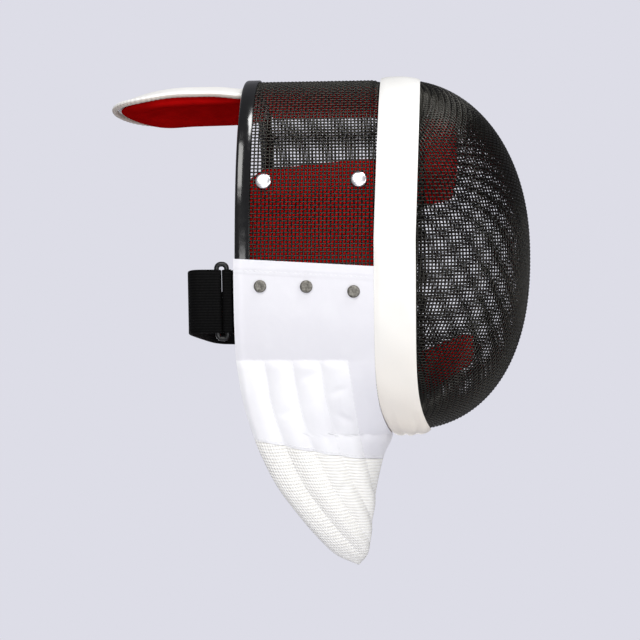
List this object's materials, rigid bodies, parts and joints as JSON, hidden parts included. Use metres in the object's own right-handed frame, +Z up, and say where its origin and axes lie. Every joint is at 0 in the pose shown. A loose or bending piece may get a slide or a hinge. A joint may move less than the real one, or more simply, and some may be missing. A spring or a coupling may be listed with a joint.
{
  "type": "fencing mask",
  "caption": "Domed wire-mesh fencing mask with a seam band, padded lining, sprung tongue and elastic strap behind, and a quilted throat bib.",
  "frame": {"origin": "middle of the underside of the crown pad, where the top of the wearer's head sits", "axes": "+X the way the face looks, +Y to the wearer's left, +Z up"},
  "size_m": [0.3618, 0.208, 0.4189],
  "materials": {
    "wire": "woven wire, black enamel, semi-gloss",
    "tape": "coated tape, warm white, satin",
    "rim": "black, glossy",
    "bib_cloth": "white woven cloth",
    "lame": "cream ribbed conductive cloth",
    "lining": "red woven lining",
    "padding": "red padded cloth",
    "chrome_stud": "polished dome",
    "rivet": "dull grey flat head",
    "webbing": "black woven elastic",
    "strap_plastic": "black, semi-gloss"
  },
  "bodies": {
    "root": {"front_mesh": "wire", "side_mesh": "wire", "seam_band": "tape", "rear_rim": "rim", "bib": "bib_cloth", "bib_lame": "lame", "bib_lining": "lining", "crown_pad": "padding", "cheek_pad_right": "padding", "cheek_pad_left": "padding", "forehead_pad": "padding", "chin_pad": "padding", "tongue": "bib_cloth", "tongue_pad": "padding", "tongue_binding": "tape", "snap_rear_right": "chrome_stud", "snap_front_right": "chrome_stud", "snap_rear_left": "chrome_stud", "snap_front_left": "chrome_stud", "rivet_rear_right": "rivet", "rivet_middle_right": "rivet", "rivet_front_right": "rivet", "rivet_rear_left": "rivet", "rivet_middle_left": "rivet", "rivet_front_left": "rivet", "strap_tab_right": "webbing", "strap_tab_left": "webbing", "strap_loop_right": "strap_plastic", "strap_loop_left": "strap_plastic", "back_strap": "webbing"}
  },
  "joints": []
}
